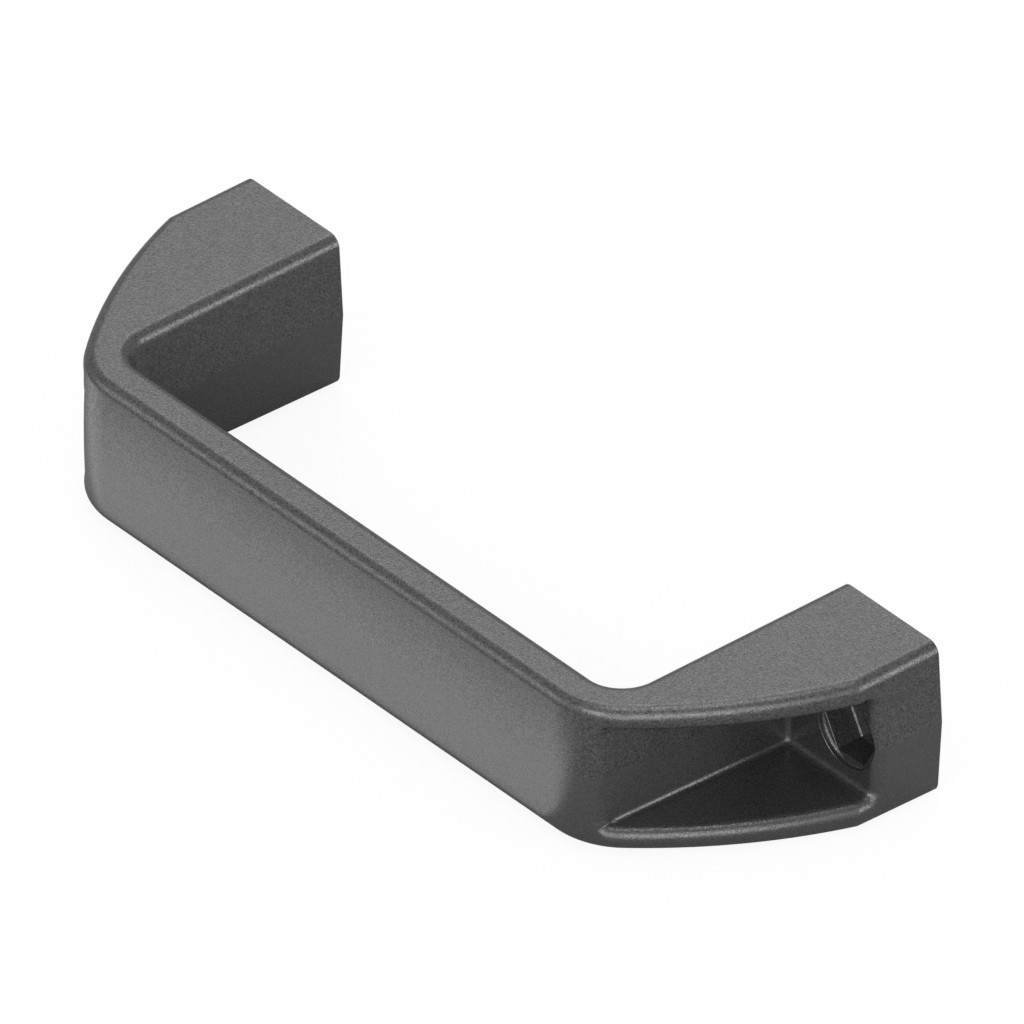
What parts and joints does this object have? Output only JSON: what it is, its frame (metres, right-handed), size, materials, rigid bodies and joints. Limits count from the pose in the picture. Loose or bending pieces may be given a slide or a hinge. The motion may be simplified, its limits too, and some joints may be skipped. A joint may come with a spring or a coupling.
{
  "type": "bar handle",
  "caption": "Moulded bar handle with a straight grip and curved legs, screwed on through recessed hexagon seats in its side pockets.",
  "frame": {"origin": "midway between the screw holes, on the mounting plane and on the mould's parting plane", "axes": "+X along the grip, +Y out of the mounting faces towards the door or cover it is fixed to, +Z across the handle's width; the handle lies on its side"},
  "size_m": [0.165, 0.0521, 0.0276],
  "materials": {
    "handle": "fine grained, matte"
  },
  "bodies": {
    "root": {"handle": "handle"}
  },
  "joints": []
}
